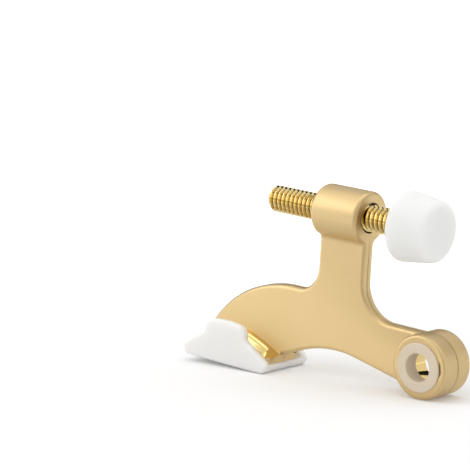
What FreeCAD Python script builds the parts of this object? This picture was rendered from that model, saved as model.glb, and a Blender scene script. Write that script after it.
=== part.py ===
import FreeCAD, Part
import math
import os

# Hinge pin door stop: a die-cast body with an eye for the hinge pin, a nylon bush in the eye,
# an adjusting screw with a rubber tip, and a rubber boot on the foot.
# Sizes are in mm. They are set out with the screw axis level, and the whole stop is then leaned
# so that it lies on its foot boot and its eye. +X runs along the screw to the rubber tip, +Y along
# the hinge pin to the back, +Z up. Last, the origin goes to the middle of the hole for the pin.

# Eye for the hinge pin, with its nylon bush
eye_radius = 7.5
eye_depth = 9.9
eye_round = 0.9
eye_bore_radius = 5.15
eye_back_chamfer = 0.45
bush_shoulder = 0.6
shoulder_chamfer = 0.3
bush_seat_depth = 3.4
bush_proud = 0.5
bush_hole_radius = 3.3
bush_chamfer = 0.15
bush_round = 0.45

# Web: the flat plate that joins the eye, the post and the foot
web_thickness = 3.6
edge_round = 0.95
arm_top = 10.45
arm_straight = 1.8
post_back_fillet = 6.0
post_front_fillet = 8.4
eye_inset = 0.4
eye_root_fillet = 0.6
arch_corner_x = -29.6
arch_corner_z = -1.2
arch_radius = 29.0

# Screw and the barrel that carries it
screw_axis_height = 30.45
screw_radius = 3.175
screw_chamfer = 0.9
screw_back_reach = 16.0
thread_clearance = 0.05
barrel_radius = 6.15
barrel_length = 13.5
barrel_back_x = -33.5
barrel_fillet = 1.6
mouth_countersink = 0.4

# Rubber tip, moulded round the collar at the end of the screw
tip_gap = 9.8
tip_length = 9.8
tip_large_radius = 8.4
tip_small_radius = 7.1
tip_round = 1.3
socket_depth = 6.2
collar_radius = 4.6
collar_length = 1.6
socket_clearance = 0.05

# Foot flange of the casting; heights are above its flat underside
foot_centre_x = -56.1
foot_half_length = 12.6
foot_half_width = 6.2
foot_drop = 8.6
foot_end_height = 1.9
foot_crown_height = 6.0
foot_crown_half = 2.4
foot_flank_bulge = 0.3
foot_fall = 0.9
foot_corner = 2.2
arch_end_drop = 0.3

# Rubber boot on the foot: a channel with bell-shaped walls, heights as for the flange
boot_wall = 2.0
boot_floor = 2.15
boot_overhang = 0.7
boot_neck_half = 6.3
boot_neck_height = 5.0
boot_shoulder_height = 8.0
boot_height = 8.75
boot_top_round = 2.4
boot_crown_round = 30.0
boot_flare_height = 0.6
boot_flare_round = 1.5
boot_end_round = 1.8
boot_neck_round = 1.4
boot_outer_round = 0.8
boot_inner_round = 0.5

# Sizes that follow from the ones above
barrel_front_x = barrel_back_x + barrel_length
screw_back_x = barrel_back_x - screw_back_reach
tip_x = barrel_front_x + tip_gap
screw_front_x = tip_x + socket_depth
collar_x = screw_front_x - collar_length
eye_front_y = -eye_depth / 2
eye_back_y = eye_depth / 2
bush_radius = eye_bore_radius + bush_shoulder
bush_seat_y = eye_front_y + bush_seat_depth
bush_front_y = eye_front_y - bush_proud
bush_length = bush_seat_depth + bush_proud
pin_hole_y = bush_front_y + (bush_length + bush_chamfer) / 2
web_half = web_thickness / 2
foot_bottom = -foot_drop
foot_back_x = foot_centre_x - foot_half_length
foot_front_x = foot_centre_x + foot_half_length
boot_bottom = foot_bottom - boot_floor
boot_half_length = foot_half_length + boot_overhang
boot_half_width = foot_half_width + boot_wall
boot_crown_rise = boot_height - boot_shoulder_height
boot_channel_height = max(boot_height, boot_shoulder_height)

# The stop leans until the rounded front end of the boot floor and the eye touch one table top.
boot_end_x = foot_centre_x + boot_half_length - boot_end_round
boot_end_z = boot_bottom + boot_end_round
reach = math.hypot(boot_end_x, boot_end_z)
rest_lean = math.asin((boot_end_round - eye_radius) / reach) + math.atan2(-boot_end_z, -boot_end_x)

tolerance = 0.002
X_AXIS = FreeCAD.Vector(1, 0, 0)
Y_AXIS = FreeCAD.Vector(0, 1, 0)
ORIGIN = FreeCAD.Vector(0, 0, 0)


def rounded_outline(corners):
    """Closed wire in the XZ plane through (x, z, radius) corners, each rounded by a tangent arc."""
    count = len(corners)
    rounds = []
    for i in range(count):
        corner = FreeCAD.Vector(corners[i][0], 0, corners[i][1])
        before = FreeCAD.Vector(corners[i - 1][0], 0, corners[i - 1][1])
        after = FreeCAD.Vector(corners[(i + 1) % count][0], 0, corners[(i + 1) % count][1])
        to_before = (before - corner).normalize()
        to_after = (after - corner).normalize()
        radius = corners[i][2]
        half = to_before.getAngle(to_after) / 2
        run = radius / math.tan(half)
        start = corner + to_before * run
        end = corner + to_after * run
        bisector = (to_before + to_after).normalize()
        middle = corner + bisector * (radius / math.sin(half) - radius)
        rounds.append((start, middle, end, radius))
    edges = []
    for i in range(count):
        start, middle, end, radius = rounds[i]
        if radius > 0:
            edges.append(Part.Arc(start, middle, end).toShape())
        following = rounds[(i + 1) % count][0]
        if end.distanceToPoint(following) > 1e-6:
            edges.append(Part.LineSegment(end, following).toShape())
    return Part.Wire(edges)


def slab(wire, half_depth):
    """Plate between y = -half_depth and y = +half_depth with the outline of the wire."""
    face = Part.Face(wire)
    face.translate(Y_AXIS * -half_depth)
    return face.extrude(Y_AXIS * (2 * half_depth))


def turned(profile, centre, axis):
    """Solid of revolution from a closed list of points."""
    wire = Part.makePolygon(profile + [profile[0]])
    return Part.Face(wire).revolve(centre, axis, 360)


def on_screw(x, radius):
    return FreeCAD.Vector(x, 0, screw_axis_height + radius)


def edges_where(shape, test):
    """Edges whose end points and middle all pass the test."""
    found = []
    for edge in shape.Edges:
        middle = edge.valueAt((edge.FirstParameter + edge.LastParameter) / 2)
        points = [vertex.Point for vertex in edge.Vertexes] + [middle]
        if all(test(point) for point in points):
            found.append(edge)
    return found


def near(a, b):
    return abs(a - b) < tolerance


def web_rim(shape):
    """Front and back outline of the web, with the rims of the barrel that run on from it."""
    rim = edges_where(shape, lambda p: near(abs(p.y), web_half) and p.z > foot_bottom + edge_round / 2)
    rim = [edge for edge in rim if not near(edge.BoundBox.XLength, barrel_length)]
    rim = [edge for edge in rim if not near(edge.BoundBox.XMin, 0)]
    ends = edges_where(shape, lambda p: near(p.x, barrel_back_x) or near(p.x, barrel_front_x))
    return rim + [edge for edge in ends if not near(edge.BoundBox.YLength, 0)]


def make_web():
    """Plate and barrel in one, with a blend between them and a rounded rim all the way round."""
    curve_start_x = barrel_back_x - post_back_fillet - arm_straight
    run = curve_start_x - foot_back_x
    rise = arm_top - foot_bottom
    arm_radius = (run ** 2 + rise ** 2) / (2 * rise)
    arm_corner_x = curve_start_x - arm_radius * rise / run
    eye_reach = eye_radius - eye_inset
    arch_end_z = foot_bottom + foot_end_height - arch_end_drop
    plate = slab(rounded_outline([
        (0, eye_reach, 0),
        (barrel_front_x, eye_reach, post_front_fillet),
        (barrel_front_x, screw_axis_height, 0),
        (barrel_back_x, screw_axis_height, 0),
        (barrel_back_x, arm_top, post_back_fillet),
        (arm_corner_x, arm_top, arm_radius),
        (foot_back_x, foot_bottom, 0),
        (foot_front_x, foot_bottom, 0),
        (foot_front_x, arch_end_z, 0),
        (arch_corner_x, arch_corner_z, arch_radius),
        (0, -eye_reach, 0),
    ]), web_half)
    barrel = Part.makeCylinder(barrel_radius, barrel_length, on_screw(barrel_back_x, 0), X_AXIS)
    joined = plate.fuse(barrel).removeSplitter()
    root_z = screw_axis_height - math.sqrt(barrel_radius ** 2 - web_half ** 2)
    roots = edges_where(joined, lambda p: near(abs(p.y), web_half) and near(p.z, root_z))
    joined = joined.makeFillet(barrel_fillet, roots)
    return joined.makeFillet(edge_round, web_rim(joined))


def make_eye():
    front = FreeCAD.Vector(0, eye_front_y, 0)
    eye = Part.makeCylinder(eye_radius, eye_depth, front, Y_AXIS)
    rims = [edge for edge in eye.Edges if near(edge.BoundBox.YLength, 0)]
    return eye.makeFillet(eye_round, rims)


def make_foot():
    """Flange under the arm. Its crowned top falls away from the web on both sides."""
    fall_per_mm = foot_fall / (foot_half_width - web_half)
    crown_z = foot_bottom + foot_crown_height + fall_per_mm * web_half
    end_z = foot_bottom + foot_end_height + fall_per_mm * web_half
    low_z = foot_bottom - 2 * foot_fall
    end_x = foot_half_length
    flank_x = (foot_crown_half + end_x) / 2
    flank_z = (crown_z + end_z) / 2 + foot_flank_bulge

    def at(x, z):
        return FreeCAD.Vector(foot_centre_x + x, 0, z)

    outline = Part.Wire([
        Part.LineSegment(at(-end_x, low_z), at(end_x, low_z)).toShape(),
        Part.LineSegment(at(end_x, low_z), at(end_x, end_z)).toShape(),
        Part.Arc(at(end_x, end_z), at(flank_x, flank_z), at(foot_crown_half, crown_z)).toShape(),
        Part.LineSegment(at(foot_crown_half, crown_z), at(-foot_crown_half, crown_z)).toShape(),
        Part.Arc(at(-foot_crown_half, crown_z), at(-flank_x, flank_z), at(-end_x, end_z)).toShape(),
        Part.LineSegment(at(-end_x, end_z), at(-end_x, low_z)).toShape(),
    ])
    profile = Part.Face(outline)
    fall = fall_per_mm * foot_half_width
    halves = []
    for side in (-1, 1):
        halves.append(profile.extrude(FreeCAD.Vector(0, side * foot_half_width, -fall)))
    foot = halves[0].fuse(halves[1])
    height = crown_z - foot_bottom
    corner = FreeCAD.Vector(foot_centre_x - end_x, -foot_half_width, foot_bottom)
    keep = Part.makeBox(2 * end_x, 2 * foot_half_width, height, corner)
    foot = foot.common(keep).removeSplitter()
    corners = edges_where(foot, lambda p: near(abs(p.y), foot_half_width)
                          and near(abs(p.x - foot_centre_x), end_x))
    return foot.makeFillet(foot_corner, corners)


def make_casting():
    body = make_web().fuse([make_eye(), make_foot()]).removeSplitter()
    eye_roots = edges_where(body, lambda p: near(math.hypot(p.x, p.z), eye_radius)
                            and abs(p.y) < web_thickness)
    body = body.makeFillet(eye_root_fillet, eye_roots)
    eye_bore = Part.makeCylinder(eye_bore_radius, eye_depth, FreeCAD.Vector(0, eye_front_y, 0), Y_AXIS)
    back_mouth = Part.makeCone(eye_bore_radius + eye_back_chamfer, eye_bore_radius, eye_back_chamfer,
                               FreeCAD.Vector(0, eye_back_y, 0), -Y_AXIS)
    bush_seat = Part.makeCylinder(bush_radius, bush_seat_depth, FreeCAD.Vector(0, eye_front_y, 0), Y_AXIS)
    front_mouth = Part.makeCone(eye_bore_radius + shoulder_chamfer, eye_bore_radius, shoulder_chamfer,
                                FreeCAD.Vector(0, bush_seat_y, 0), Y_AXIS)
    bore_radius = screw_radius + thread_clearance
    cuts = [eye_bore, back_mouth, bush_seat, front_mouth]
    cuts.append(Part.makeCylinder(bore_radius, barrel_length, on_screw(barrel_back_x, 0), X_AXIS))
    for mouth_x, inward in ((barrel_back_x, X_AXIS), (barrel_front_x, -X_AXIS)):
        cuts.append(Part.makeCone(bore_radius + mouth_countersink, bore_radius, mouth_countersink,
                                  on_screw(mouth_x, 0), inward))
    return body.cut(cuts)


def make_bush():
    front = FreeCAD.Vector(0, bush_front_y, 0)
    sleeve = Part.makeCylinder(bush_radius, bush_length, front, Y_AXIS)
    sleeve = sleeve.cut(Part.makeCylinder(bush_hole_radius, bush_length, front, Y_AXIS))
    outer_rim = edges_where(sleeve, lambda p: near(p.y, bush_front_y)
                            and near(math.hypot(p.x, p.z), bush_radius))
    sleeve = sleeve.makeFillet(bush_round, outer_rim)
    hole_rim = edges_where(sleeve, lambda p: near(p.y, bush_front_y)
                           and near(math.hypot(p.x, p.z), bush_hole_radius))
    return sleeve.makeChamfer(bush_chamfer, hole_rim)


def make_screw():
    profile = [
        on_screw(screw_back_x, 0),
        on_screw(screw_back_x, screw_radius - screw_chamfer),
        on_screw(screw_back_x + screw_chamfer, screw_radius),
        on_screw(collar_x, screw_radius),
        on_screw(collar_x, collar_radius),
        on_screw(screw_front_x, collar_radius),
        on_screw(screw_front_x, 0),
    ]
    return turned(profile, on_screw(0, 0), X_AXIS)


def make_tip():
    taper = Part.makeCone(tip_large_radius, tip_small_radius, tip_length, on_screw(tip_x, 0), X_AXIS)
    rims = [edge for edge in taper.Edges if near(edge.BoundBox.XLength, 0)]
    taper = taper.makeFillet(tip_round, rims)
    shank = screw_radius + socket_clearance
    seat = collar_radius + socket_clearance
    profile = [
        on_screw(tip_x, 0),
        on_screw(tip_x, shank),
        on_screw(collar_x - socket_clearance, shank),
        on_screw(collar_x - socket_clearance, seat),
        on_screw(screw_front_x + socket_clearance, seat),
        on_screw(screw_front_x + socket_clearance, 0),
    ]
    return taper.cut(turned(profile, on_screw(0, 0), X_AXIS))


def make_boot():
    """Channel that takes the foot flange: a floor with a bell-shaped wall at front and back.
    The rounds at the top of the wall are no wider than the straight sides between them."""
    flank_slope = math.atan2(boot_neck_height - boot_flare_height, boot_half_length - boot_neck_half)
    neck_run = boot_neck_round * math.tan((math.pi / 2 - flank_slope) / 2)
    neck_side = boot_shoulder_height - boot_neck_height - neck_run
    crown_slope = math.atan2(boot_crown_rise, boot_neck_half)
    top_round = min(boot_top_round, neck_side * math.tan((math.pi / 2 + crown_slope) / 2))
    crown_round = min(boot_crown_round, (boot_neck_half - top_round) / abs(math.tan(crown_slope)))
    half_bell = [
        (boot_half_length, boot_bottom, boot_end_round),
        (boot_half_length, foot_bottom + boot_flare_height, boot_flare_round),
        (boot_neck_half, foot_bottom + boot_neck_height, boot_neck_round),
        (boot_neck_half, foot_bottom + boot_shoulder_height, top_round),
    ]
    crown = [(foot_centre_x, foot_bottom + boot_height, crown_round)]
    right = [(foot_centre_x + x, z, radius) for x, z, radius in half_bell]
    left = [(foot_centre_x - x, z, radius) for x, z, radius in reversed(half_bell)]
    bell = slab(rounded_outline(right + crown + left), boot_half_width)
    corner = FreeCAD.Vector(foot_centre_x - boot_half_length, -foot_half_width, foot_bottom)
    channel = Part.makeBox(2 * boot_half_length, 2 * foot_half_width, boot_channel_height, corner)
    boot = bell.cut(channel)
    outer = edges_where(boot, lambda p: near(abs(p.y), boot_half_width))
    boot = boot.makeFillet(boot_outer_round, outer)
    inner = edges_where(boot, lambda p: near(abs(p.y), foot_half_width) and p.z > foot_bottom)
    return boot.makeFillet(boot_inner_round, inner)


os.makedirs("parts", exist_ok=True)
pieces = {
    "body_casting": make_casting(),
    "hinge_pin_bush": make_bush(),
    "adjusting_screw": make_screw(),
    "rubber_tip": make_tip(),
    "foot_boot": make_boot(),
}
for name, shape in pieces.items():
    solid = shape.Solids[0]
    solid.translate(Y_AXIS * -pin_hole_y)
    solid.rotate(ORIGIN, Y_AXIS, math.degrees(rest_lean))
    solid.exportStep("parts/" + name + ".step")
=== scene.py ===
import math
import bmesh
import bpy
from mathutils import Matrix, Vector


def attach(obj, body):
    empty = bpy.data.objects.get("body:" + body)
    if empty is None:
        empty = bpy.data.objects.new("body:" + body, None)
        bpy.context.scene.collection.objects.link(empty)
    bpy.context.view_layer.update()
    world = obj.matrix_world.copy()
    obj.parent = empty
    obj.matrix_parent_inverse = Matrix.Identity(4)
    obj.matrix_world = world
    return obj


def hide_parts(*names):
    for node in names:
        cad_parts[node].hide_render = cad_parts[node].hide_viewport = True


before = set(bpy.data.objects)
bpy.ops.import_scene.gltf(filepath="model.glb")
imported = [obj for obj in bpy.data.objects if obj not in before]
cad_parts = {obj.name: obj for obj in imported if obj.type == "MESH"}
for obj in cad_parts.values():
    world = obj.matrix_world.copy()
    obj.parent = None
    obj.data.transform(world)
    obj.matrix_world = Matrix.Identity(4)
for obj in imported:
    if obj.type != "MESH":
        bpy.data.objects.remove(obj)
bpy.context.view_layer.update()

# Body casting: one zinc die casting with the web, the post, the barrel for the screw, the eye for
# the hinge pin and the foot flange. It is brass plated and satin brushed on the outside, and the
# two halves of the die leave a fine line all round its middle.
MM = 0.001
middle_y = 3.425 * MM
web_half = 1.8 * MM
parting_half, parting_depth = 0.15 * MM, 0.22 * MM
parting_margin = 0.3 * MM
bush_seat, seat_margin = 5.75 * MM, 1.0 * MM
screw_height = 30.45 * MM
screw_mouth, barrel_radius = 3.675 * MM, 6.15 * MM
boot_top_z, boot_front_x = 5.2 * MM, -42.0 * MM
face_margin = 0.05 * MM
weld = 1e-7
on_place = 1e-6
flat_degrees = 0.05

# The stop leans on its boot and its eye, so the screw dips a little towards the tip.
lean = math.radians(4.148638)
screw_axis = Vector((math.cos(lean), 0.0, -math.sin(lean)))
screw_start = Vector((screw_height * math.sin(lean), middle_y, screw_height * math.cos(lean)))


def linear(code):
    """Linear RGBA of an sRGB hex colour."""
    values = [int(code[i:i + 2], 16) / 255 for i in (1, 3, 5)]
    return [v / 12.92 if v <= 0.04045 else ((v + 0.055) / 1.055) ** 2.4 for v in values] + [1.0]


def add(tree, kind, sockets=None, **settings):
    """Adds a node with its settings; a socket value that is an output becomes a link."""
    node = tree.nodes.new(kind)
    for name, value in settings.items():
        setattr(node, name, value)
    for key, value in (sockets or {}).items():
        if isinstance(value, bpy.types.NodeSocket):
            tree.links.new(value, node.inputs[key])
        else:
            node.inputs[key].default_value = value
    return node


def new_finish(name):
    """An empty material with its node tree and its object coordinates, in metres."""
    made = bpy.data.materials.new(name)
    made.use_nodes = True
    made.node_tree.nodes.clear()
    place = add(made.node_tree, "ShaderNodeTexCoord").outputs["Object"]
    return made, made.node_tree, place


def cad_copy(name):
    """The merged mesh of a CAD node, ready to be worked on."""
    shape = bmesh.new()
    shape.from_mesh(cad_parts[name].data)
    bmesh.ops.remove_doubles(shape, verts=shape.verts, dist=weld)
    bmesh.ops.dissolve_limit(
        shape, angle_limit=math.radians(flat_degrees), verts=shape.verts, edges=shape.edges,
        use_dissolve_boundaries=False)
    return shape


def new_piece(name, shape, finishes, crease_degrees):
    """Object of the finished mesh, smooth but for edges sharper than the crease."""
    bmesh.ops.recalc_face_normals(shape, faces=shape.faces)
    mesh = bpy.data.meshes.new(name)
    shape.to_mesh(mesh)
    shape.free()
    for finish in finishes:
        mesh.materials.append(finish)
    mesh.shade_smooth()
    mesh.set_sharp_from_angle(angle=math.radians(crease_degrees))
    piece = bpy.data.objects.new(name, mesh)
    bpy.context.scene.collection.objects.link(piece)
    evened = piece.modifiers.new("even shading", "WEIGHTED_NORMAL")
    evened.keep_sharp = True
    return piece


def off_screw_axis(point):
    """How far a point lies from the axis of the screw."""
    from_start = point - screw_start
    return (from_start - screw_axis * from_start.dot(screw_axis)).length


# Satin brass plating: brushed along the arm from the eye, it scatters light softly, most across
# the brush lines, so faces look even and only wide gradients show. A thin lacquer adds a pale
# sheen. The real lines are finer than a tenth of a millimetre; they are drawn 0.2 mm apart to show.
satin_brass, tree, place = new_finish("satin_brass_plating")
brush_length, brush_spacing = 9 * MM, 0.2 * MM
stretch = add(tree, "ShaderNodeMapping", {
    "Vector": place, "Scale": (1 / brush_length, 1 / brush_spacing, 1 / brush_spacing)})
brush = add(tree, "ShaderNodeTexNoise", {
    "Vector": stretch.outputs["Vector"], "Scale": 1.0, "Detail": 3.0})
cloud_size = 14 * MM
cloud = add(tree, "ShaderNodeTexNoise", {"Vector": place, "Scale": 1 / cloud_size, "Detail": 2.0})
tint = add(tree, "ShaderNodeMix", {
    "Factor": cloud.outputs["Fac"], "A": linear("#D4B985"),
    "B": linear("#D8BE8C")}, data_type="RGBA")
streak = add(tree, "ShaderNodeMapRange", {
    "Value": brush.outputs["Fac"], "From Min": 0.3, "From Max": 0.7,
    "To Min": 0.42, "To Max": 0.48})
scratch = add(tree, "ShaderNodeBump", {
    "Height": brush.outputs["Fac"], "Strength": 0.12, "Distance": 0.02 * MM})
across = add(tree, "ShaderNodeVectorMath", {0: place, 1: (0, 1, 0)}, operation="CROSS_PRODUCT")
across = add(tree, "ShaderNodeVectorTransform", {
    "Vector": across.outputs["Vector"]}, vector_type="VECTOR",
    convert_from="OBJECT", convert_to="WORLD")
satin = add(tree, "ShaderNodeBsdfPrincipled", {
    "Base Color": tint.outputs["Result"], "Metallic": 1.0, "Roughness": streak.outputs["Result"],
    "Anisotropic": 0.8, "Tangent": across.outputs["Vector"],
    "Coat Weight": 0.25, "Coat Roughness": 0.25, "Normal": scratch.outputs["Normal"]})
add(tree, "ShaderNodeOutputMaterial", {"Surface": satin.outputs["BSDF"]})

# Bright brass plating: inside the eye and on the foot flange the brush doesn't reach, so the
# plating keeps its mirror polish, with only faint ripples of the casting under it.
bright_brass, tree, place = new_finish("bright_brass_plating")
ripple_size = 2.5 * MM
ripple = add(tree, "ShaderNodeTexNoise", {"Vector": place, "Scale": 1 / ripple_size, "Detail": 1.0})
polish = add(tree, "ShaderNodeMapRange", {
    "Value": ripple.outputs["Fac"], "To Min": 0.05, "To Max": 0.11})
swell = add(tree, "ShaderNodeBump", {
    "Height": ripple.outputs["Fac"], "Strength": 0.08, "Distance": 0.1 * MM})
mirror = add(tree, "ShaderNodeBsdfPrincipled", {
    "Base Color": linear("#E2C684"), "Metallic": 1.0, "Roughness": polish.outputs["Result"],
    "Normal": swell.outputs["Normal"]})
add(tree, "ShaderNodeOutputMaterial", {"Surface": mirror.outputs["BSDF"]})

# Painted shade: inside the barrel and its mouth, a dark mottled brass colour stands in for shade.
bore_painted_shade, tree, place = new_finish("painted_shade_bore_brass")
mottle_size = 0.6 * MM
mottle_noise = add(tree, "ShaderNodeTexNoise", {"Vector": place, "Scale": 1 / mottle_size, "Detail": 2.0})
shade_mottle = add(tree, "ShaderNodeMix", {
    "Factor": mottle_noise.outputs["Fac"], "A": linear("#3A2C18"), "B": linear("#5A4728")}, data_type="RGBA")
bore_shade_bsdf = add(tree, "ShaderNodeBsdfPrincipled", {
    "Base Color": shade_mottle.outputs["Result"], "Metallic": 1.0, "Roughness": 0.4})
add(tree, "ShaderNodeOutputMaterial", {"Surface": bore_shade_bsdf.outputs["BSDF"]})

casting = cad_copy("body_casting")
for offset in (-parting_half, 0.0, parting_half):
    bmesh.ops.bisect_plane(
        casting, geom=casting.verts[:] + casting.edges[:] + casting.faces[:], dist=weld,
        plane_co=(0, middle_y + offset, 0), plane_no=(0, 1, 0))
bmesh.ops.recalc_face_normals(casting, faces=casting.faces)
casting.normal_update()
parting = [
    v for v in casting.verts
    if abs(v.co.y - middle_y) < on_place and math.hypot(v.co.x, v.co.z) > bush_seat + seat_margin
    and off_screw_axis(v.co) > barrel_radius + parting_margin]
level_normal, end_normal, top_normal = 0.2, 0.9, 0.3
sunk = [(v, v.co - v.normal * parting_depth) for v in parting if abs(v.normal.y) < level_normal]
for v, target in sunk:
    v.co = target
casting_finishes = [satin_brass, bright_brass, bore_painted_shade]
for face in casting.faces:
    middle = face.calc_center_median()
    in_eye = all(math.hypot(v.co.x, v.co.z) < bush_seat - face_margin for v in face.verts)
    faces_end = abs(face.normal.dot(screw_axis)) >= end_normal
    in_barrel = off_screw_axis(middle) < screw_mouth and not faces_end
    beside_web = abs(middle.y - middle_y) > web_half + face_margin
    on_foot = beside_web and middle.x < boot_front_x and middle.z < boot_top_z
    # faces in the barrel's bore get the dark colour of painted shade
    if in_barrel:
        face.material_index = casting_finishes.index(bore_painted_shade)
    elif in_eye or on_foot and face.normal.z > top_normal:
        face.material_index = casting_finishes.index(bright_brass)
casting = new_piece("satin_casting", casting, casting_finishes, crease_degrees=32)
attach(casting, "stop_body")
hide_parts("body_casting")

# Hinge pin bush: a turned ring of natural nylon, pressed into the front of the eye up to a
# shoulder. It stands a little proud of the metal, and its hole has an eased mouth.
bush_front_y, bush_back_y = -2.025 * MM, 1.875 * MM
bush_hole, bush_ease, bush_round = 3.3 * MM, 0.15 * MM, 0.45 * MM
bush_round_segments = 4
turn_steps = 96


def turned(profile, start, axis):
    """Closed solid of revolution from (along, radius) points about the axis."""
    side = axis.orthogonal().normalized()
    shape = bmesh.new()
    ring = [shape.verts.new(start + axis * along + side * radius) for along, radius in profile]
    edges = [shape.edges.new((ring[i - 1], ring[i])) for i in range(len(ring))]
    bmesh.ops.spin(
        shape, geom=ring + edges, cent=start, axis=axis, angle=2 * math.pi,
        steps=turn_steps, use_merge=True)
    bmesh.ops.remove_doubles(shape, verts=shape.verts, dist=weld)
    return shape


def ease_rims(shape, start, axis, rims, size, segments):
    """Rounds the circular rims at the given (along, radius) places."""
    chosen = []
    for edge in shape.edges:
        for along, radius in rims:
            offsets = [v.co - start for v in edge.verts]
            at_rim = all(
                abs(o.dot(axis) - along) < on_place
                and abs((o - axis * o.dot(axis)).length - radius) < on_place for o in offsets)
            if at_rim:
                chosen.append(edge)
    bmesh.ops.bevel(
        shape, geom=chosen, offset=size, offset_type="OFFSET", segments=segments, profile=0.5,
        affect="EDGES", material=-1)


# Natural nylon: cream coloured and slightly cloudy, so light goes a little way into it, with the
# turning marks of the lathe on its face. A wave of rings repeats every pi / 10 over its scale.
nylon, tree, place = new_finish("natural_nylon")
haze_size = 3 * MM
haze = add(tree, "ShaderNodeTexNoise", {"Vector": place, "Scale": 1 / haze_size, "Detail": 2.0})
cream = add(tree, "ShaderNodeMix", {
    "Factor": haze.outputs["Fac"], "A": linear("#D8C8B0"), "B": linear("#DCCEB8")}, data_type="RGBA")
turning_spacing = 0.4712 * MM
turning_frame = add(tree, "ShaderNodeMapping", {
    "Vector": place, "Rotation": (math.radians(90), 0, 0)})
turning = add(tree, "ShaderNodeTexWave", {
    "Vector": turning_frame.outputs["Vector"], "Scale": math.pi / 10 / turning_spacing,
    "Distortion": 0.4}, wave_type="RINGS", rings_direction="Z")
turning_mark = add(tree, "ShaderNodeBump", {
    "Height": turning.outputs["Fac"], "Strength": 0.06, "Distance": 0.02 * MM})
ring_skin = add(tree, "ShaderNodeBsdfPrincipled", {
    "Base Color": cream.outputs["Result"], "Roughness": 0.48, "IOR": 1.53,
    "Subsurface Weight": 0.25, "Subsurface Radius": (1.0, 0.8, 0.6), "Subsurface Scale": 0.6 * MM,
    "Normal": turning_mark.outputs["Normal"]})
add(tree, "ShaderNodeOutputMaterial", {"Surface": ring_skin.outputs["BSDF"]})

pin_axis, pin_start = Vector((0, 1, 0)), Vector((0, 0, 0))
bush = turned([
    (bush_front_y, bush_hole + bush_ease), (bush_front_y, bush_seat), (bush_back_y, bush_seat),
    (bush_back_y, bush_hole), (bush_front_y + bush_ease, bush_hole)], pin_start, pin_axis)
ease_rims(bush, pin_start, pin_axis, [(bush_front_y, bush_seat)], bush_round, bush_round_segments)
bush = new_piece("nylon_bush", bush, [nylon], crease_degrees=32)
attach(bush, "stop_body")
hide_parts("hinge_pin_bush")

# Adjusting screw: a rolled 1/4 in rod with 20 threads to the inch, bright brass plated, with an
# eased back end and a plain collar that the rubber tip is moulded over.
pitch = 1.27 * MM
crest, root = 3.175 * MM, 2.42 * MM
screw_back, collar_back, screw_front = -49.5 * MM, -5.6 * MM, -4.0 * MM
collar = 4.6 * MM
back_ease = 0.9 * MM
thread_steps, spare_turns = 64, 2
thread_weld = 2e-6

# Bright rolled thread: smooth flanks with a high polish. Its colour is painted darker towards the
# roots, as painted shade in the grooves of the thread.
thread_brass, tree, place = new_finish("bright_rolled_brass")
grain_size = 0.8 * MM
grain = add(tree, "ShaderNodeTexNoise", {"Vector": place, "Scale": 1 / grain_size, "Detail": 2.0})
gold = add(tree, "ShaderNodeMix", {
    "Factor": grain.outputs["Fac"], "A": linear("#E4CE90"), "B": linear("#EEDCA6")}, data_type="RGBA")
rod_frame = add(tree, "ShaderNodeMapping", {
    "Vector": place, "Location": screw_start, "Rotation": (0, lean, 0)}, vector_type="TEXTURE")
off_axis = add(tree, "ShaderNodeVectorMath", {
    0: rod_frame.outputs["Vector"], 1: (0, 1, 1)}, operation="MULTIPLY")
off_axis = add(tree, "ShaderNodeVectorMath", {0: off_axis.outputs["Vector"]}, operation="LENGTH")
height = add(tree, "ShaderNodeMapRange", {
    "Value": off_axis.outputs["Value"], "From Min": root, "From Max": crest})
# painted shade: darker brass at the roots, blending into the gold at the crests
root_painted_shade = add(tree, "ShaderNodeMix", {
    "Factor": height.outputs["Result"], "A": linear("#9A7C42"),
    "B": gold.outputs["Result"]}, data_type="RGBA")
glint = add(tree, "ShaderNodeMapRange", {
    "Value": grain.outputs["Fac"], "To Min": 0.06, "To Max": 0.12})
rolled = add(tree, "ShaderNodeBsdfPrincipled", {
    "Base Color": root_painted_shade.outputs["Result"], "Metallic": 1.0, "Roughness": glint.outputs["Result"]})
add(tree, "ShaderNodeOutputMaterial", {"Surface": rolled.outputs["BSDF"]})

outward = screw_axis.orthogonal().normalized()
turns = math.ceil((collar_back - screw_back) / pitch) + spare_turns + 1
thread_start = screw_start + screw_axis * (screw_back - spare_turns * pitch)
thread_form = [
    (-pitch / 8, root), (pitch / 8, root), (7 * pitch / 16, crest), (9 * pitch / 16, crest),
    (7 * pitch / 8, root)]
screw = bmesh.new()
ridge = [
    screw.verts.new(thread_start + screw_axis * along + outward * radius)
    for along, radius in thread_form]
flanks = [screw.edges.new((ridge[i], ridge[i + 1])) for i in range(len(ridge) - 1)]
bmesh.ops.spin(
    screw, geom=ridge + flanks, cent=screw_start, axis=screw_axis,
    dvec=screw_axis * (pitch / thread_steps), angle=2 * math.pi * turns, steps=thread_steps * turns)
bmesh.ops.remove_doubles(screw, verts=screw.verts, dist=thread_weld)
for cut, outwards in ((screw_back, -1), (collar_back, 1)):
    bmesh.ops.bisect_plane(
        screw, geom=screw.verts[:] + screw.edges[:] + screw.faces[:], dist=weld, clear_outer=True,
        plane_co=screw_start + screw_axis * cut, plane_no=screw_axis * outwards)


def rim_at(along):
    """Open edges of the rod in the plane at that place on its axis."""
    return [
        e for e in screw.edges
        if e.is_boundary
        and all(abs((v.co - screw_start).dot(screw_axis) - along) < on_place for v in e.verts)]


def set_radius(vert, radius):
    """Moves a vertex straight towards or away from the screw's axis."""
    on_axis = screw_start + screw_axis * (vert.co - screw_start).dot(screw_axis)
    vert.co = on_axis + (vert.co - on_axis).normalized() * radius


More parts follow.
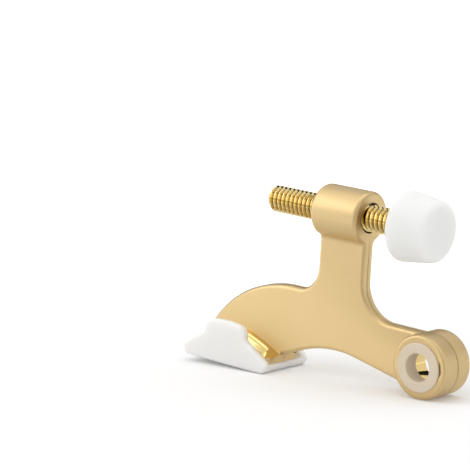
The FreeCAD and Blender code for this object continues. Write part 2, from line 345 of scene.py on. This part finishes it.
for v in screw.verts:
    behind = (v.co - screw_start).dot(screw_axis) - screw_back
    if off_screw_axis(v.co) > crest - back_ease + behind:
        set_radius(v, crest - back_ease + behind)
bmesh.ops.edgeloop_fill(screw, edges=rim_at(screw_back))
collar_step = bmesh.ops.extrude_edge_only(screw, edges=rim_at(collar_back))["geom"]
collar_rim = [g for g in collar_step if isinstance(g, bmesh.types.BMEdge) and g.is_boundary]
for v in {v for e in collar_rim for v in e.verts}:
    set_radius(v, collar)
collar_side = bmesh.ops.extrude_edge_only(screw, edges=collar_rim)["geom"]
collar_end = [g for g in collar_side if isinstance(g, bmesh.types.BMEdge) and g.is_boundary]
bmesh.ops.translate(
    screw, verts=list({v for e in collar_end for v in e.verts}),
    vec=screw_axis * (screw_front - collar_back))
bmesh.ops.edgeloop_fill(screw, edges=collar_end)
screw = new_piece("threaded_rod", screw, [thread_brass], crease_degrees=25)
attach(screw, "screw")
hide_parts("adjusting_screw")

# Rubber tip: a tapered bumper of soft white rubber, moulded over the collar of the screw. Its rims
# are well rounded, and the mould leaves a dull, even skin.
tip_back, tip_front = -10.2 * MM, -0.4 * MM
tip_large, tip_small, tip_round = 8.4 * MM, 7.1 * MM, 1.3 * MM
tip_round_segments = 8
fit = 0.05 * MM
shank_hole, seat_hole = crest + fit, collar + fit

# White rubber: dull and slightly warm, with a fine moulded grain. Light goes some millimetres into
# it, so its edges look soft.
white_rubber, tree, place = new_finish("moulded_white_rubber")
skin_grain = 0.35 * MM
skin = add(tree, "ShaderNodeTexNoise", {"Vector": place, "Scale": 1 / skin_grain, "Detail": 3.0})
bloom_size = 9 * MM
bloom = add(tree, "ShaderNodeTexNoise", {"Vector": place, "Scale": 1 / bloom_size, "Detail": 2.0})
chalk = add(tree, "ShaderNodeMix", {
    "Factor": bloom.outputs["Fac"], "A": linear("#E9E9E7"), "B": linear("#EEEEEC")}, data_type="RGBA")
pebble = add(tree, "ShaderNodeBump", {
    "Height": skin.outputs["Fac"], "Strength": 0.10, "Distance": 0.03 * MM})
dullness = add(tree, "ShaderNodeMapRange", {
    "Value": skin.outputs["Fac"], "To Min": 0.58, "To Max": 0.70})
rubber = add(tree, "ShaderNodeBsdfPrincipled", {
    "Base Color": chalk.outputs["Result"], "Roughness": dullness.outputs["Result"], "IOR": 1.5,
    "Subsurface Weight": 1.0, "Subsurface Radius": (1.0, 1.0, 0.95), "Subsurface Scale": 3.0 * MM,
    "Normal": pebble.outputs["Normal"]})
add(tree, "ShaderNodeOutputMaterial", {"Surface": rubber.outputs["BSDF"]})

tip = turned([
    (tip_back, shank_hole), (tip_back, tip_large), (tip_front, tip_small), (tip_front, 0.0),
    (screw_front + fit, 0.0), (screw_front + fit, seat_hole), (collar_back - fit, seat_hole),
    (collar_back - fit, shank_hole)], screw_start, screw_axis)
tip_rims = [(tip_back, tip_large), (tip_front, tip_small)]
ease_rims(tip, screw_start, screw_axis, tip_rims, tip_round, tip_round_segments)
tip = new_piece("bumper_tip", tip, [white_rubber], crease_degrees=32)
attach(tip, "tip")
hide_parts("rubber_tip")

# Foot boot: a moulded channel of the same white rubber, pushed over the foot flange so that the
# stop doesn't mark the door.
boot = new_piece("rubber_boot", cad_copy("foot_boot"), [white_rubber], crease_degrees=40)
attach(boot, "stop_body")
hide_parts("foot_boot")
# The satin plating beside the boot shows no image of it, so mirrored rays pass the boot by.
boot.visible_glossy = False

# Table and light: a wide white sheet under one large soft box overhead and a second one at the
# front left, in a white room. Dark cloths round about and one on the table show only in the metal,
# and give it its dark reflections.
table_z, table_half = -7.5 * MM, 3.0


def seen_directly(tree):
    """1 for a ray from the camera, a mirror or clear glass, and 0 for one that lights a surface."""
    ray = add(tree, "ShaderNodeLightPath")
    seen = add(tree, "ShaderNodeMath", {
        0: ray.outputs["Is Camera Ray"], 1: ray.outputs["Is Glossy Ray"]}, operation="MAXIMUM")
    seen = add(tree, "ShaderNodeMath", {
        0: seen.outputs["Value"], 1: ray.outputs["Is Transmission Ray"]}, operation="MAXIMUM")
    return seen.outputs["Value"]


# White paper: matt, with a fine tooth. It fades to the white of the room away from the stop, where
# it is seen, and keeps the stop's shadow near it.
paper, tree, place = new_finish("white_paper")
tooth_size = 1.5 * MM
tooth = add(tree, "ShaderNodeTexNoise", {"Vector": place, "Scale": 1 / tooth_size, "Detail": 2.0})
paper_tint = add(tree, "ShaderNodeMix", {
    "Factor": tooth.outputs["Fac"], "A": linear("#EAEAEA"), "B": linear("#ECECEC")}, data_type="RGBA")
sheet = add(tree, "ShaderNodeBsdfDiffuse", {"Color": paper_tint.outputs["Result"]})
away = add(tree, "ShaderNodeVectorMath", {0: place}, operation="LENGTH")
fade_near, fade_far = 70 * MM, 350 * MM
fade = add(tree, "ShaderNodeMapRange", {
    "Value": away.outputs["Value"], "From Min": fade_near, "From Max": fade_far,
    "To Min": 0.12, "To Max": 0.75})
lift = add(tree, "ShaderNodeMath", {
    0: seen_directly(tree), 1: fade.outputs["Result"]}, operation="MULTIPLY")
glow = add(tree, "ShaderNodeEmission", {"Color": (1, 1, 1, 1), "Strength": lift.outputs["Value"]})
both = add(tree, "ShaderNodeAddShader", {0: sheet.outputs["BSDF"], 1: glow.outputs["Emission"]})
add(tree, "ShaderNodeOutputMaterial", {"Surface": both.outputs["Shader"]})
table = bmesh.new()
bmesh.ops.create_grid(
    table, x_segments=1, y_segments=1, size=table_half, matrix=Matrix.Translation((0, 0, table_z)))
table = new_piece("table_sheet", table, [paper], crease_degrees=30)

# White room: plain white where it is seen, and dimmer on the left as a source of light.
world = bpy.data.worlds.new("studio")
bpy.context.scene.world = world
world.use_nodes = True
world.node_tree.nodes.clear()
tree = world.node_tree
backdrop = add(tree, "ShaderNodeBackground", {"Color": (1, 1, 1, 1), "Strength": 1.0})
towards = add(tree, "ShaderNodeTexCoord").outputs["Generated"]
sky = add(tree, "ShaderNodeSeparateXYZ", {"Vector": towards})
fill = add(tree, "ShaderNodeMapRange", {
    "Value": sky.outputs["X"], "From Min": -1.0, "From Max": 1.0, "To Min": 0.58, "To Max": 1.06})
ambient = add(tree, "ShaderNodeBackground", {
    "Color": (1, 1, 1, 1), "Strength": fill.outputs["Result"]})
mixed = add(tree, "ShaderNodeMixShader", {
    "Fac": seen_directly(tree), 1: ambient.outputs["Background"], 2: backdrop.outputs["Background"]})
add(tree, "ShaderNodeOutputWorld", {"Surface": mixed.outputs["Shader"]})


def soft_box(name, place, target, size, watts):
    """Rectangular lamp at a place, turned to its target."""
    lamp = bpy.data.lights.new(name, "AREA")
    lamp.shape = "RECTANGLE"
    lamp.size, lamp.size_y = size
    lamp.energy = watts
    holder = bpy.data.objects.new(name, lamp)
    holder.location = place
    holder.rotation_euler = (Vector(target) - Vector(place)).to_track_quat("-Z", "Y").to_euler()
    bpy.context.scene.collection.objects.link(holder)


soft_box("overhead_box", (-0.03, 0.06, 0.50), (-0.03, 0, 0), (0.42, 0.42), 0.46)
soft_box("front_left_box", (-0.42, -0.355, 0.36), (-0.03, 0, 0.02), (0.5, 0.48), 1.0)


def hang_for_metal(cloth_piece):
    """Keeps a dark cloth out of sight and out of the light, so that only the metal shows it."""
    cloth_piece.visible_camera = False
    cloth_piece.visible_shadow = False
    cloth_piece.visible_diffuse = False


# Dark felt: black with a short nap that swallows the light.
dark_cloth, tree, place = new_finish("dark_felt_cloth")
nap_size = 2 * MM
nap = add(tree, "ShaderNodeTexNoise", {"Vector": place, "Scale": 1 / nap_size})
felt = add(tree, "ShaderNodeMix", {
    "Factor": nap.outputs["Fac"], "A": linear("#141414"), "B": linear("#1C1C1C")}, data_type="RGBA")
cloth = add(tree, "ShaderNodeBsdfDiffuse", {"Color": felt.outputs["Result"]})
add(tree, "ShaderNodeOutputMaterial", {"Surface": cloth.outputs["BSDF"]})
flag_reach, flag_steps = 0.5, 36
# Each flag's lower and upper edge in metres, and the compass degrees from which to which it hangs.
flags = ((0.0, 0.05, 66, 105), (0.20, 0.30, 58, 105), (0.62, 0.92, 75, 160), (0.0, 0.25, 105, 165),
         (0.0, 0.18, -65, -20))
for number, (flag_low, flag_high, start_degrees, end_degrees) in enumerate(flags, 1):
    flag_from, flag_to = math.radians(start_degrees), math.radians(end_degrees)
    flag = bmesh.new()
    upright = [
        flag.verts.new((flag_reach * math.cos(flag_from), flag_reach * math.sin(flag_from), z))
        for z in (flag_low, flag_high)]
    bmesh.ops.spin(
        flag, geom=upright + [flag.edges.new(upright)], cent=(0, 0, 0), axis=(0, 0, 1),
        angle=flag_to - flag_from, steps=flag_steps)
    flag = new_piece(f"dark_flag_{number}", flag, [dark_cloth], crease_degrees=30)
    hang_for_metal(flag)
card_half, card_lift = 0.09, 1.0 * MM
card_middle = Vector((0.165, -0.184, table_z + card_lift))
card = bmesh.new()
bmesh.ops.create_grid(
    card, x_segments=1, y_segments=1, size=card_half, matrix=Matrix.Translation(card_middle))
card = new_piece("dark_card", card, [dark_cloth], crease_degrees=30)
hang_for_metal(card)

# Camera at the photograph's place: level, a little above the stop and well round to its right,
# with a long lens.
camera = bpy.data.cameras.new("camera")
camera.sensor_width = 36.0
camera.lens = 168.64
viewer = bpy.data.objects.new("camera", camera)
viewer.location = (0.293337, -0.391608, 0.103716)
viewer.rotation_euler = (math.radians(81.41), 0, math.radians(41.80))
bpy.context.scene.collection.objects.link(viewer)
bpy.context.scene.camera = viewer
bpy.context.scene.view_settings.view_transform = "Standard"
